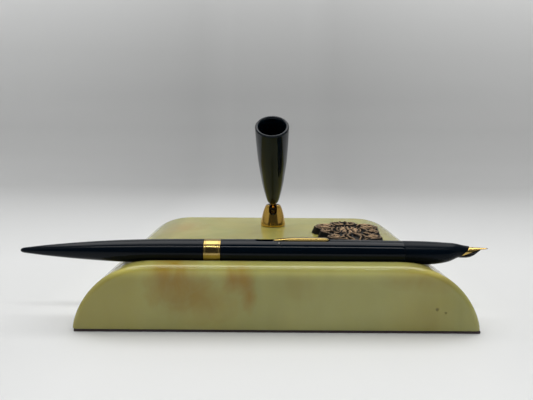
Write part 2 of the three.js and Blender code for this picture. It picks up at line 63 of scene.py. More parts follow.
# ------------------------------------------------------------------ camera, light, floor
def camera():
    cam = bpy.data.cameras.new("photo_camera")
    cam.sensor_fit = "HORIZONTAL"
    cam.sensor_width = 36.0
    cam.lens = 474.136 * 36.0 / 533.0
    cam.clip_start, cam.clip_end = 0.01, 20.0
    o = bpy.data.objects.new("photo_camera", cam)
    bpy.context.scene.collection.objects.link(o)
    pitch, yaw, roll = (math.radians(a) for a in (8.0651, 0.3541, 0.4995))
    fwd = Vector((math.sin(yaw) * math.cos(pitch), math.cos(yaw) * math.cos(pitch), -math.sin(pitch)))
    right = Vector((math.cos(yaw), -math.sin(yaw), 0))
    up = right.cross(fwd)
    r2 = math.cos(roll) * right + math.sin(roll) * up
    u2 = -math.sin(roll) * right + math.cos(roll) * up
    m = Matrix((r2, u2, -fwd)).transposed().to_4x4()
    m.translation = Vector((-5.366, -219.675, 74.252)) * MM
    o.matrix_world = m
    bpy.context.scene.camera = o


def area(name, where, target, size, power, color=(1, 1, 1)):
    light = bpy.data.lights.new(name, "AREA")
    light.shape = "RECTANGLE"
    light.size, light.size_y = size
    light.energy = power
    light.color = color
    o = bpy.data.objects.new(name, light)
    bpy.context.scene.collection.objects.link(o)
    o.location = Vector(where)
    o.rotation_euler = (Vector(target) - Vector(where)).to_track_quat("-Z", "Y").to_euler()
    return o


def stage():
    # A floor that sweeps up into the backdrop a good way behind the set.
    bm = bmesh.new()
    profile = [(-1.6, 0.0), (0.42, 0.0)]
    for i in range(1, 17):
        a = i / 16 * math.pi / 2
        profile.append((0.42 + 0.14 * math.sin(a), 0.14 * (1 - math.cos(a))))
    profile.append((0.56, 1.6))
    rows = [[bm.verts.new((x, y, z)) for x in (-2.2, 2.2)] for y, z in profile]
    for a, b in zip(rows, rows[1:]):
        bm.faces.new((a[0], a[1], b[1], b[0])).smooth = True
    floor = mesh_object("stage_sweep", bm)
    floor.data.materials.append(stage_material())

    # A soft overhead source in a dim room: the stone's top and the floor are bright, and black parts stay black.
    bpy.context.scene.view_settings.view_transform = "Standard"
    world = bpy.data.worlds.new("studio")
    bpy.context.scene.world = world
    world.use_nodes = True
    bg = world.node_tree.nodes["Background"]
    bg.inputs["Color"].default_value = (0.94, 0.97, 1.0, 1)
    bg.inputs["Strength"].default_value = 0.05
    area("key_overhead", (0.0, 0.17, 0.85), (0, 0.16, 0.0), (1.25, 0.62), 8.0)
    area("front_strip", (0.0, -0.56, 0.90), (0, -0.03, 0.03), (1.25, 0.07), 3.0)
    area("side_left", (-0.90, -0.15, 0.45), (0, 0.0, 0.03), (1.30, 0.8), 1.1, (0.97, 0.985, 1.0))
    area("side_right", (0.90, -0.15, 0.45), (0, 0.0, 0.03), (1.30, 0.8), 0.9, (1.0, 0.99, 0.97))


# ------------------------------------------------------------------ mesh helpers
def mesh_object(name, bm, matrix=None, smooth_angle=None):
    if matrix is not None:
        bm.transform(matrix)
    me = bpy.data.meshes.new(name)
    bm.normal_update()
    bm.to_mesh(me)
    bm.free()
    o = bpy.data.objects.new(name, me)
    bpy.context.scene.collection.objects.link(o)
    if smooth_angle is not None:
        smooth(o, smooth_angle)
    return o


def smooth(o, degrees):
    me = o.data
    for p in me.polygons:
        p.use_smooth = True
    me.update()
    limit = math.radians(degrees)
    bm = bmesh.new()
    bm.from_mesh(me)
    for e in bm.edges:
        e.smooth = len(e.link_faces) == 2 and e.calc_face_angle(0.0) < limit
    bm.to_mesh(me)
    bm.free()


def apply_modifiers(o):
    bpy.context.view_layer.update()
    graph = bpy.context.evaluated_depsgraph_get()
    me = bpy.data.meshes.new_from_object(o.evaluated_get(graph))
    o.modifiers.clear()
    old = o.data
    o.data = me
    bpy.data.meshes.remove(old)


def boolean(o, cutters, operation="DIFFERENCE"):
    for c in cutters:
        m = o.modifiers.new("cut", "BOOLEAN")
        m.operation = operation
        m.solver = "EXACT"
        m.object = c
    apply_modifiers(o)
    for c in cutters:
        bpy.data.objects.remove(c)


def fillet(points, radii, steps=5):
    """Rounds the corners of a 2-D polyline: radii[i] is the radius at points[i], 0 to keep it sharp."""
    out = []
    n = len(points)
    for i, p in enumerate(points):
        r = radii[i] if i < len(radii) else 0
        if r <= 0 or i in (0, n - 1):
            out.append(tuple(p))
            continue
        p, a, b = Vector(p), Vector(points[i - 1]), Vector(points[i + 1])
        u, v = (a - p), (b - p)
        lu, lv = u.length, v.length
        u.normalize()
        v.normalize()
        ang = u.angle(v)
        if ang > math.radians(176):
            out.append(tuple(p))
            continue
        t = min(r / math.tan(ang / 2), lu * 0.48, lv * 0.48)
        s, e = p + u * t, p + v * t
        for k in range(steps + 1):
            w = k / steps
            q = s * (1 - w) ** 2 + p * 2 * w * (1 - w) + e * w ** 2
            out.append((q.x, q.y))
    return out


def catmull(rows, step):
    """Smooth resampling of a table of (x, value) with increasing x."""
    out = []
    for i in range(len(rows) - 1):
        (x1, v1), (x2, v2) = rows[i], rows[i + 1]
        x0, v0 = rows[i - 1] if i else (2 * x1 - x2, 2 * v1 - v2)
        x3, v3 = rows[i + 2] if i + 2 < len(rows) else (2 * x2 - x1, 2 * v2 - v1)
        m1 = (v2 - v0) / (x2 - x0)
        m2 = (v3 - v1) / (x3 - x1)
        n = max(1, round((x2 - x1) / step))
        for k in range(n):
            t = k / n
            h = x2 - x1
            v = ((2 * t ** 3 - 3 * t ** 2 + 1) * v1 + (t ** 3 - 2 * t ** 2 + t) * h * m1
                 + (-2 * t ** 3 + 3 * t ** 2) * v2 + (t ** 3 - t ** 2) * h * m2)
            out.append((x1 + (x2 - x1) * t, v))
    out.append(tuple(rows[-1]))
    return out


def table(rows, x):
    if x <= rows[0][0]:
        return rows[0][1]
    for (x0, a), (x1, b) in zip(rows, rows[1:]):
        if x <= x1:
            return a + (b - a) * (x - x0) / (x1 - x0)
    return rows[-1][1]


def revolve(profile, sides=96, axis="Z", closed=False):
    """Closed surface of revolution. profile is a list of (radius, height); radius 0 is a pole."""
    bm = bmesh.new()
    rings = []
    for r, h in profile:
        if r < 1e-6:
            rings.append([bm.verts.new(place(0, 0, h, axis))])
        else:
            rings.append([bm.verts.new(place(r * math.cos(2 * math.pi * k / sides), r * math.sin(2 * math.pi * k / sides), h, axis)) for k in range(sides)])
    pairs = list(zip(rings, rings[1:]))
    if closed:
        pairs.append((rings[-1], rings[0]))
    for a, b in pairs:
        for k in range(sides):
            j = (k + 1) % sides
            if len(a) == 1 and len(b) == 1:
                continue
            if len(a) == 1:
                bm.faces.new((a[0], b[k], b[j]))
            elif len(b) == 1:
                bm.faces.new((a[k], a[j], b[0]))
            else:
                bm.faces.new((a[k], a[j], b[j], b[k]))
    bmesh.ops.recalc_face_normals(bm, faces=bm.faces)
    return bm


def place(a, b, h, axis):
    # X: (a, b) -> (y, z); Z: (a, b) -> (x, y)
    return (h, a, b) if axis == "X" else (a, b, h)


def scaled(bm, matrix):
    bm.transform(Matrix.Scale(MM, 4) @ matrix)
    return bm


def block(name, x0, x1, y0, y1, z0, z1, matrix):
    bm = bmesh.new()
    bmesh.ops.create_cube(bm, size=1.0)
    for v in bm.verts:
        v.co = Vector((x0 + (v.co.x + 0.5) * (x1 - x0), y0 + (v.co.y + 0.5) * (y1 - y0), z0 + (v.co.z + 0.5) * (z1 - z0)))
    return mesh_object(name, scaled(bm, matrix))


def rod(name, r, h0, h1, axis, matrix, at=(0, 0, 0), sides=64):
    bm = revolve([(0, h0), (r, h0), (r, h1), (0, h1)], sides, "X" if axis == "X" else "Z")
    m = Matrix.Translation(Vector(at))
    if axis == "Y":
        m = m @ Matrix.Rotation(-math.pi / 2, 4, "X")
    return mesh_object(name, scaled(bm, matrix @ m))


# ------------------------------------------------------------------ materials
class Mat:
    """A node material with a Principled shader."""

    def __init__(self, name, **values):
        self.mat = bpy.data.materials.new(name)
        self.mat.use_nodes = True
        self.tree = self.mat.node_tree
        self.bsdf = self.tree.nodes["Principled BSDF"]
        for k, v in values.items():
            self.set(k, v)

    def set(self, key, value):
        self.bsdf.inputs[key].default_value = value

    def node(self, kind, **settings):
        n = self.tree.nodes.new(kind)
        for k, v in settings.items():
            if k.startswith("in_"):
                n.inputs[k[3:].replace("_", " ")].default_value = v
            else:
                setattr(n, k, v)
        return n

    def link(self, a, b):
        self.tree.links.new(a, b)

    def coords(self, scale=(1, 1, 1)):
        tex = self.node("ShaderNodeTexCoord")
        m = self.node("ShaderNodeMapping")
        m.inputs["Scale"].default_value = scale
        self.link(tex.outputs["Object"], m.inputs["Vector"])
        return m.outputs["Vector"]

    def noise(self, vector, scale, detail=4.0, rough=0.5, distortion=0.0):
        n = self.node("ShaderNodeTexNoise")
        n.inputs["Scale"].default_value = scale
        n.inputs["Detail"].default_value = detail
        n.inputs["Roughness"].default_value = rough
        n.inputs["Distortion"].default_value = distortion
        self.link(vector, n.inputs["Vector"])
        return n.outputs["Fac"]

    def ramp(self, value, stops, interpolation="LINEAR"):
        r = self.node("ShaderNodeValToRGB")
        r.color_ramp.interpolation = interpolation
        els = r.color_ramp.elements
        while len(els) > 1:
            els.remove(els[-1])
        els[0].position = stops[0][0]
        els[0].color = rgba(stops[0][1])
        for p, c in stops[1:]:
            e = els.new(p)
            e.color = rgba(c)
        self.link(value, r.inputs["Fac"])
        return r.outputs["Color"]

    def mix(self, factor, a, b, blend="MIX"):
        m = self.node("ShaderNodeMix", data_type="RGBA", blend_type=blend)
        self.plug(factor, m.inputs[0])
        self.plug(a, m.inputs[6])
        self.plug(b, m.inputs[7])
        return m.outputs[2]

    def math(self, op, a, b=None, clamp=False):
        m = self.node("ShaderNodeMath", operation=op, use_clamp=clamp)
        self.plug(a, m.inputs[0])
        if b is not None:
            self.plug(b, m.inputs[1])
        return m.outputs[0]

    def map_range(self, value, a, b, c, d):
        m = self.node("ShaderNodeMapRange")
        for k, v in zip(("From Min", "From Max", "To Min", "To Max"), (a, b, c, d)):
            m.inputs[k].default_value = v
        self.link(value, m.inputs["Value"])
        return m.outputs["Result"]

    def plug(self, value, socket):
        if isinstance(value, bpy.types.NodeSocket):
            self.link(value, socket)
        elif isinstance(value, tuple):
            socket.default_value = rgba(value)
        else:
            socket.default_value = value

    def bump(self, height, strength, distance, chain=None):
        b = self.node("ShaderNodeBump")
        b.inputs["Strength"].default_value = strength
        b.inputs["Distance"].default_value = distance
        self.link(height, b.inputs["Height"])
        if chain is not None:
            self.link(chain, b.inputs["Normal"])
        self.link(b.outputs["Normal"], self.bsdf.inputs["Normal"])
        return b.outputs["Normal"]


def rgba(c):
    return (c[0], c[1], c[2], 1.0) if not isinstance(c, (int, float)) else (c, c, c, 1.0)


def stage_material():
    """Pale paper with painted light and shade: darker toward the back, lighter as it rises, lighter toward the sides at
    the back, and a little darker to the sides beyond the slab's ends.
    """
    m = Mat("stage_paper", Roughness=0.62)
    m.set("Specular IOR Level", 0.35)
    v = m.coords()
    tex = m.node("ShaderNodeTexCoord")
    sep = m.node("ShaderNodeSeparateXYZ")
    m.link(tex.outputs["Object"], sep.inputs[0])
    paper = m.mix(m.noise(v, 1.3, 2), (0.735, 0.740, 0.735), (0.755, 0.760, 0.755))
    # painted shade: the paper darkens toward the back
    painted_back_shade = m.ramp(m.map_range(sep.outputs["Y"], 0.0, 0.6, 0.0, 1.0), [(0.08, 1.0), (0.26, 0.86), (0.40, 0.72), (0.58, 0.57), (0.80, 0.46), (0.93, 0.42)])
    # painted light: the sweep lightens as it rises
    rise = m.ramp(m.map_range(sep.outputs["Z"], 0.0, 0.4, 0.0, 1.0), [(0.10, 0.505), (0.20, 0.545), (0.35, 0.72), (0.50, 0.76), (0.62, 0.83), (0.75, 0.93)])
    # painted light: lighter toward the sides at the back
    out = m.math("MULTIPLY", m.map_range(m.math("ABSOLUTE", sep.outputs["X"]), 0.05, 0.42, 0.0, 0.46), m.map_range(sep.outputs["Y"], 0.15, 0.50, 0.0, 1.0))
    # painted shade: a little darker beyond the slab's ends
    edge = m.map_range(m.math("ABSOLUTE", sep.outputs["X"]), 0.062, 0.105, 0.98, 0.90)
    painted_light_and_shade = m.math("MULTIPLY", m.math("MULTIPLY", m.math("MULTIPLY", rise, 2.0), edge), m.math("ADD", out, 1.0))
    m.link(m.mix(1.0, m.mix(1.0, paper, painted_back_shade, "MULTIPLY"), painted_light_and_shade, "MULTIPLY"), m.bsdf.inputs["Base Color"])
    m.bump(m.noise(v, 900, 3), 0.05, 0.0002)
    return m.mat


def onyx_material():
    m = Mat("onyx_stone", Roughness=0.13)
    m.set("IOR", 1.52)
    m.set("Subsurface Weight", 0.45)
    m.set("Subsurface Radius", (1.0, 0.90, 0.40))
    m.set("Subsurface Scale", 0.005)
    v = m.coords()
    # Soft upright banding, as the slab was sawn across its layers, with milky clouds between.
    tall = m.coords((1.0, 1.0, 0.30))
    wide = m.noise(tall, 21, 3, 0.45, 0.7)
    fine = m.noise(tall, 70, 4, 0.5, 0.5)
    cloud = m.noise(v, 15, 3, 0.45, 0.5)
    base = m.ramp(wide, [(0.28, (0.330, 0.285, 0.068)), (0.44, (0.385, 0.350, 0.095)), (0.56, (0.352, 0.342, 0.105)), (0.74, (0.440, 0.420, 0.145))])
    milky = m.mix(m.map_range(cloud, 0.44, 0.72, 0.0, 0.50), base, (0.475, 0.465, 0.180))
    grain = m.mix(m.map_range(fine, 0.38, 0.72, 0.0, 0.22), milky, (0.265, 0.235, 0.052))
    color = grain
    # Iron-stained clouds: centre, reach in x, y and z, strength, colour.
    for centre, radius, strength, tint in (
        ((-0.0385, -0.050, 0.0195), (0.0110, 0.022, 0.0095), 0.95, (0.300, 0.155, 0.0)),
        ((-0.0290, -0.050, 0.0120), (0.0150, 0.022, 0.0075), 0.60, (0.290, 0.175, 0.005)),
        ((-0.0150, -0.050, 0.0205), (0.0058, 0.018, 0.0055), 0.90, (0.300, 0.150, 0.0)),
        ((-0.0105, -0.050, 0.0150), (0.0026, 0.016, 0.0065), 0.75, (0.300, 0.155, 0.0)),
        ((0.0085, -0.050, 0.0180), (0.0075, 0.014, 0.0060), 0.30, (0.280, 0.190, 0.025)),
        ((0.0560, -0.050, 0.0215), (0.0170, 0.014, 0.0050), 0.45, (0.285, 0.190, 0.022)),
        ((-0.0460, 0.020, 0.0256), (0.0130, 0.022, 0.0100), 0.45, (0.400, 0.215, 0.060)),
        ((-0.0300, 0.046, 0.0130), (0.0150, 0.018, 0.0110), 0.65, (0.300, 0.140, 0.015)),
        ((0.0380, 0.048, 0.0160), (0.0120, 0.018, 0.0100), 0.45, (0.290, 0.160, 0.020)),
        ((0.0700, 0.020, 0.0100), (0.0200, 0.014, 0.0090), 0.40, (0.290, 0.165, 0.022)),
    ):
        sub = m.node("ShaderNodeVectorMath", operation="SUBTRACT")
        tex = m.node("ShaderNodeTexCoord")
        m.link(tex.outputs["Object"], sub.inputs[0])
        sub.inputs[1].default_value = centre
        div = m.node("ShaderNodeVectorMath", operation="DIVIDE")
        m.link(sub.outputs[0], div.inputs[0])
        div.inputs[1].default_value = radius
        length = m.node("ShaderNodeVectorMath", operation="LENGTH")
        m.link(div.outputs[0], length.inputs[0])
        ragged = m.math("ADD", length.outputs["Value"], m.map_range(m.noise(v, 95, 4, 0.55, 0.9), 0.0, 1.0, -0.62, 0.62))
        mask = m.map_range(ragged, 1.25, 0.15, 0.0, strength)
        mask = m.math("MULTIPLY", mask, m.map_range(m.noise(tall, 120, 3, 0.5, 0.8), 0.30, 0.62, 0.55, 1.0), clamp=True)
        color = m.mix(mask, color, tint)
    m.link(m.map_range(m.noise(v, 240, 4), 0.3, 0.7, 0.08, 0.15), m.bsdf.inputs["Roughness"])
    # Two small pits low on the front face, and a polish that isn't perfectly flat.
    pits = None
    for centre, r in (((0.0597, -0.0508, 0.0096), 0.00075), ((0.0630, -0.0508, 0.0083), 0.00058)):
        tex = m.node("ShaderNodeTexCoord")
        dist = m.node("ShaderNodeVectorMath", operation="DISTANCE")
        m.link(tex.outputs["Object"], dist.inputs[0])
        dist.inputs[1].default_value = centre
        ragged = m.math("ADD", dist.outputs["Value"], m.map_range(m.noise(v, 1400, 3), 0.0, 1.0, -0.0003, 0.0003))
        d = m.map_range(ragged, r * 0.3, r, -1.0, 0.0)
        pits = d if pits is None else m.math("ADD", pits, d)
    # Painted light: the front face is brightened in a band along its rounded top edge, and the top face a little, where
    # the lamps fall.
    tex = m.node("ShaderNodeTexCoord")
    sep = m.node("ShaderNodeSeparateXYZ")
    m.link(tex.outputs["Object"], sep.inputs[0])
    painted_edge_glow = m.ramp(m.map_range(sep.outputs["Z"], 0.019, 0.026, 0.0, 1.0),
                  [(0.143, 0.0), (0.286, 0.08), (0.414, 0.20), (0.514, 0.38), (0.629, 0.52), (0.743, 0.36), (0.843, 0.08), (0.943, 0.0)])
    painted_edge_glow = m.math("MULTIPLY", painted_edge_glow, m.map_range(sep.outputs["Y"], -0.0500, -0.0475, 1.0, 0.0))
    # painted light: the top face a little brighter
    crown = m.map_range(sep.outputs["Z"], 0.0254, 0.02555, 0.0, 0.07)
    color = m.mix(1.0, color, m.math("ADD", m.math("ADD", painted_edge_glow, crown), 1.0), "MULTIPLY")
    m.link(m.mix(m.math("MULTIPLY", pits, -0.50), color, (0.085, 0.075, 0.035)), m.bsdf.inputs["Base Color"])
    n = m.bump(pits, 0.8, 0.0004)
    n = m.bump(m.noise(v, 60, 3), 0.05, 0.0005, n)
    # hand polishing along the edges leaves faint waves
    m.bump(m.noise(m.coords((1.0, 0.25, 0.25)), 330, 2), 0.16, 0.00020, n)
    return m.mat


def black_material(name, base, roughness, coat, grain, streak=0.0, level=0.30):
    m = Mat(name, Roughness=roughness)
    m.set("IOR", 1.5)
    m.set("Specular IOR Level", level)
    m.set("Coat Weight", coat)
    m.set("Coat Roughness", 0.05)
    v = m.coords()
    m.link(m.mix(m.noise(v, 120, 4), base, tuple(c * 1.5 for c in base)), m.bsdf.inputs["Base Color"])
    m.link(m.map_range(m.noise(v, 380, 5, 0.6), 0.30, 0.72, roughness * 0.92, roughness * 1.12), m.bsdf.inputs["Roughness"])
    scratch = m.noise(m.coords((0.04, 1, 1)), 900, 2)
    n = m.bump(scratch, 0.02 + streak, 0.000006)
    m.bump(m.noise(v, 1600, 3), grain, 0.000005, n)
    return m.mat


def metal_material(name, base, dark, roughness, scratch_scale=(1, 1, 1), tarnish=0.25, anisotropy=0.0, hollow=None, low=None):
    m = Mat(name, Metallic=1.0, Roughness=roughness)
    m.set("Anisotropic", anisotropy)
    v = m.coords()
    spots = m.map_range(m.noise(v, 420, 5, 0.6), 0.40, 0.75, 0.0, tarnish)
    color = m.mix(spots, base, dark)
    if hollow is not None:
        # metal close round a point is darker
        centre, r0, r1, tint = hollow
        tex = m.node("ShaderNodeTexCoord")
        dist = m.node("ShaderNodeVectorMath", operation="DISTANCE")
        m.link(tex.outputs["Object"], dist.inputs[0])
        dist.inputs[1].default_value = centre
        color = m.mix(m.map_range(dist.outputs["Value"], r0, r1, 1.0, 0.0), color, tint)
    if low is not None:
        # painted shade along the foot of the part
        z0, z1, tint = low
        tex = m.node("ShaderNodeTexCoord")
        sep = m.node("ShaderNodeSeparateXYZ")
        m.link(tex.outputs["Object"], sep.inputs[0])
        color = m.mix(m.map_range(sep.outputs["Z"], z0, z1, 1.0, 0.0), color, tint)
    m.link(color, m.bsdf.inputs["Base Color"])
    m.link(m.map_range(m.noise(v, 700, 4), 0.30, 0.72, roughness * 0.8, roughness * 1.4), m.bsdf.inputs["Roughness"])
    m.bump(m.noise(m.coords(scratch_scale), 3200, 3), 0.10, 0.00001)
    return m.mat


def bronze_material():
    m = Mat("antique_bronze", Metallic=0.85, Roughness=0.42)
    v = m.coords()
    geo = m.node("ShaderNodeNewGeometry")
    # Copper shows on the rubbed high ground, near-black patina on the sides and in the hollows.
    sep = m.node("ShaderNodeSeparateXYZ")
    m.link(geo.outputs["Normal"], sep.inputs[0])
    up = m.map_range(sep.outputs["Z"], 0.30, 0.85, 0.0, 1.0)
    tex = m.node("ShaderNodeTexCoord")
    place_z = m.node("ShaderNodeSeparateXYZ")
    m.link(tex.outputs["Object"], place_z.inputs[0])
    high = m.map_range(place_z.outputs["Z"], (TOP + 2.95) * MM, (TOP + 3.60) * MM, 0.0, 1.0)
    worn = m.map_range(m.noise(v, 900, 6, 0.65), 0.30, 0.60, 0.45, 1.0)
    rub = m.math("MULTIPLY", m.math("MULTIPLY", up, high), worn, clamp=True)
    m.link(m.mix(rub, (0.0080, 0.0080, 0.0085), (0.360, 0.235, 0.130)), m.bsdf.inputs["Base Color"])
    m.link(m.map_range(rub, 0.0, 1.0, 0.55, 0.38), m.bsdf.inputs["Roughness"])
    m.bump(m.noise(v, 1500, 5, 0.6), 0.35, 0.00008)
    return m.mat


def felt_material():
    m = Mat("wool_felt", Roughness=0.95)
    m.set("Sheen Weight", 0.35)
    m.set("Sheen Roughness", 0.6)
    v = m.coords()
    fibres = m.noise(m.coords((1, 1, 3)), 1800, 6, 0.7, 1.0)
    m.link(m.mix(fibres, (0.012, 0.004, 0.006), (0.048, 0.018, 0.023)), m.bsdf.inputs["Base Color"])
    m.bump(fibres, 0.7, 0.00025)
    return m.mat


def rubber_material():
    m = Mat("latex_rubber", Roughness=0.8)
    v = m.coords()
    m.link(m.mix(m.noise(v, 300, 4), (0.012, 0.011, 0.011), (0.032, 0.028, 0.026)), m.bsdf.inputs["Base Color"])
    m.bump(m.noise(v, 1600, 3), 0.2, 0.00005)
    return m.mat


def nylon_material():
    m = Mat("moulded_nylon", Roughness=0.45)
    m.set("Subsurface Weight", 0.2)
    m.set("Subsurface Scale", 0.001)
    v = m.coords()
    m.link(m.mix(m.noise(v, 260, 3), (0.62, 0.58, 0.46), (0.74, 0.71, 0.60)), m.bsdf.inputs["Base Color"])
    m.bump(m.noise(v, 1400, 3), 0.15, 0.00003)
    return m.mat


ONYX = onyx_material()
FELT = felt_material()
BRONZE = bronze_material()
PIVOT = (SOCKET.x * MM, SOCKET.y * MM, PIVOT_Z * MM)
BRASS = metal_material("polished_brass", (0.740, 0.455, 0.095), (0.350, 0.195, 0.035), 0.16, (1, 1, 0.1), 0.30)
BELL_BRASS = metal_material("bell_brass", (0.770, 0.475, 0.100), (0.370, 0.205, 0.040), 0.15, (1, 1, 0.1), 0.30, 0.0,
                            (PIVOT, 3.9 * MM, 4.6 * MM, (0.050, 0.030, 0.014)))
BALL_BRASS = metal_material("ball_brass", (0.760, 0.500, 0.140), (0.360, 0.210, 0.050), 0.10, (1, 1, 1), 0.30, 0.0,
                            (PIVOT, 3.30 * MM, 3.9 * MM, (0.110, 0.075, 0.045)))
STEEL = metal_material("plain_steel", (0.50, 0.50, 0.49), (0.25, 0.24, 0.23), 0.34, (1, 1, 0.2), 0.3, 0.3)
BAR_STEEL = metal_material("bar_steel", (0.085, 0.082, 0.078), (0.045, 0.042, 0.038), 0.55, (0.2, 1, 1), 0.4)
GOLD = metal_material("gold_plate", (0.610, 0.420, 0.130), (0.420, 0.260, 0.070), 0.18, (0.1, 1, 1), 0.25)
BAND_GOLD = metal_material("band_gold", (0.460, 0.330, 0.115), (0.280, 0.175, 0.050), 0.16, (6, 0.3, 0.3), 0.25)
# the lever's foot, low in its slot, gets painted shade
LEVER_GOLD = metal_material("lever_gold", (0.420, 0.300, 0.095), (0.270, 0.165, 0.040), 0.20, (0.1, 1, 1), 0.25, 0.0, None, ((PEN_Z + 4.55) * MM, (PEN_Z + 4.95) * MM, (0.030, 0.020, 0.008)))
TIP = metal_material("iridium_tip", (0.62, 0.61, 0.59), (0.40, 0.39, 0.37), 0.22, (1, 1, 1), 0.15)
PEN_BLACK = black_material("pen_plastic", (0.0005, 0.0028, 0.0062), 0.055, 0.0, 0.04, 0.02, 0.17)
SECTION_BLACK = black_material("section_plastic", (0.0005, 0.0028, 0.0062), 0.25, 0.0, 0.08, 0.0, 0.09)
TAIL_BLACK = black_material("tail_plastic", (0.0006, 0.0028, 0.0062), 0.18, 0.0, 0.04, 0.0, 0.15)
TRUMPET_BLACK = black_material("holder_plastic", (0.0005, 0.0038, 0.0070), 0.10, 0.0, 0.04, 0.0, 0.21)
LINER_BLACK = black_material("liner_plastic", (0.0012, 0.0022, 0.0046), 0.45, 0.0, 0.15)
FEED_BLACK = black_material("feed_rubber", (0.0030, 0.0032, 0.0036), 0.26, 0.0, 0.12)
RUBBER = rubber_material()
NYLON = nylon_material()


def dress(node, material):
    """A better material on a CAD node that keeps its shape."""
    o = NODES[node]
    o.data.materials.clear()
    o.data.materials.append(material)


def finish_piece(o, body, slot, material, *nodes):
    o.data.materials.clear()
    o.data.materials.append(material)
    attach(o, body)
    if nodes:
        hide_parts(*nodes)
    return o


# ------------------------------------------------------------------ stone and felt
def stone():
    half = []
    steps = 56
    for i in range(steps + 1):
        t = i / steps * math.pi / 2
        half.append((BASE_W / 2 - END_W + END_W * max(0.0, math.cos(t)) ** (2 / END_N),
                     FELT_T + STONE_H * max(0.0, math.sin(t)) ** (2 / END_M)))
    half[-1] = (BASE_W / 2 - END_W, TOP)
    half.insert(0, (BASE_W / 2, FELT_T - 2 * EDGE))
    loop = half + [(-x, z) for x, z in reversed(half)]
    bm = bmesh.new()
    front = [bm.verts.new((x * MM, BASE_FRONT * MM, z * MM)) for x, z in loop]
    back = [bm.verts.new((x * MM, BASE_BACK * MM, z * MM)) for x, z in loop]
    n = len(loop)
    cap_front = bm.faces.new(list(reversed(front)))
    cap_back = bm.faces.new(back)
    for i in range(n):
        j = (i + 1) % n
        bm.faces.new((front[i], front[j], back[j], back[i]))
    bmesh.ops.recalc_face_normals(bm, faces=bm.faces)
    o = mesh_object("onyx_base", bm)
    # the rounded edge around both faces; the foot is then sawn off square
    bevel = o.modifiers.new("ease", "BEVEL")
    bevel.width = EDGE * MM
    bevel.segments = 10
    bevel.limit_method = "ANGLE"
    bevel.angle_limit = math.radians(40)
    apply_modifiers(o)
    ident = Matrix.Identity(4)
    cutters = [
        block("foot_cut", -90, 90, -60, 60, -10, FELT_T, ident),
        rod("groove", GROOVE_R, -90, 90, "X", Matrix.Translation(Vector((0, GROOVE_Y, TOP - GROOVE_DEPTH + GROOVE_R))), sides=128),
        rod("stud_hole", 2.9, 0, TOP + 1, "Z", ident, (SOCKET.x, SOCKET.y, 0)),
        rod("counterbore", 9.0, 0, FELT_T + 8.0, "Z", ident, (SOCKET.x, SOCKET.y, 0), 96),
        rod("peg_a", 1.25, TOP - 3.6, TOP + 1, "Z", ident, (BADGE[0], BADGE[1] + 9, 0), 32),
        rod("peg_b", 1.25, TOP - 3.6, TOP + 1, "Z", ident, (BADGE[0], BADGE[1] - 9, 0), 32),
    ]
    boolean(o, cutters)
    # a narrow eased edge along the groove and round the holes
    bevel = o.modifiers.new("ease", "BEVEL")
    bevel.width = 0.35 * MM
    bevel.segments = 3
    bevel.limit_method = "ANGLE"
    bevel.angle_limit = math.radians(32)
    bevel.use_clamp_overlap = True
    apply_modifiers(o)
    smooth(o, 30)
    weighted(o)
    finish_piece(o, "base", "onyx", ONYX, "stone_base")


def weighted(o):
    m = o.modifiers.new("weighted", "WEIGHTED_NORMAL")
    m.keep_sharp = True
    m.weight = 60
    apply_modifiers(o)


def felt():
    # The pad's cut edge is slightly uneven.
    x0, x1, y0, y1 = -76.2, 76.7, -50.6, 52.0
    loop = []
    for (ax, ay), (bx, by) in zip([(x0, y0), (x1, y0), (x1, y1), (x0, y1)], [(x1, y0), (x1, y1), (x0, y1), (x0, y0)]):
        n = int(max(abs(bx - ax), abs(by - ay)) / 0.7)
        for k in range(n):
            loop.append((ax + (bx - ax) * k / n, ay + (by - ay) * k / n))
    bm = bmesh.new()
    levels = [(0.0, 0.10), (0.25, 0.0), (0.75, 0.0), (1.12, 0.05), (FELT_T - 0.02, 0.20)]
    rings = []
    for level, inset in levels:
        ring = []
        for x, y in loop:
            w = noise.noise(Vector((x * 0.55, y * 0.55, level * 1.7))) * 0.16 + noise.noise(Vector((x * 2.1, y * 2.1, level * 3.0))) * 0.10
            d = max(0.0, inset + 0.14 + w * 0.8)
            ring.append(bm.verts.new(((x - math.copysign(min(d, 1.2), x) * (abs(x - x0) < 1e-6 or abs(x - x1) < 1e-6)) * MM,
                                      (y - math.copysign(min(d, 1.2), y) * (abs(y - y0) < 1e-6 or abs(y - y1) < 1e-6)) * MM, level * MM)))
        rings.append(ring)
    n = len(loop)
    for a, b in zip(rings, rings[1:]):
        for k in range(n):
            j = (k + 1) % n
            bm.faces.new((a[k], a[j], b[j], b[k]))
    bm.faces.new(list(reversed(rings[0])))
    bm.faces.new(rings[-1])
    bmesh.ops.recalc_face_normals(bm, faces=bm.faces)
    o = mesh_object("felt_sheet_pad", bm, None, 50)
    finish_piece(o, "base", "felt", FELT, "felt_pad")


# ------------------------------------------------------------------ pen
def tail():
    rows = [(-98.2, 1.12), (-94.8, 1.55), (-91.3, 1.97), (-87.8, 2.33), (-84.4, 2.66), (-79.2, 3.12), (-74.0, 3.52), (-68.8, 3.87),
            (-63.6, 4.15), (-58.5, 4.38), (-52.5, 4.58), (-46.3, 4.72), (-38.0, 4.82), (-30.0, 4.87), (-28.75, 4.87)]
    profile = [(0, -100.4)]
    for k in range(1, 7):
        a = k / 6 * math.radians(80)
        profile.append((1.08 * math.sin(a), -100.4 + 1.9 * (1 - math.cos(a)) * 1.15))
    profile += [(r, x) for x, r in catmull(rows, 0.9)]
    profile += [(4.83, -28.55), (4.72, -28.5), (3.7, -28.5), (3.7, -19.2), (3.4, -19.0), (0, -19.0)]
    o = mesh_object("pen_tail", scaled(revolve(profile, 96, "X"), PEN_M), None, 35)
    finish_piece(o, "pen", "pen_black", TAIL_BLACK, "tail_taper")


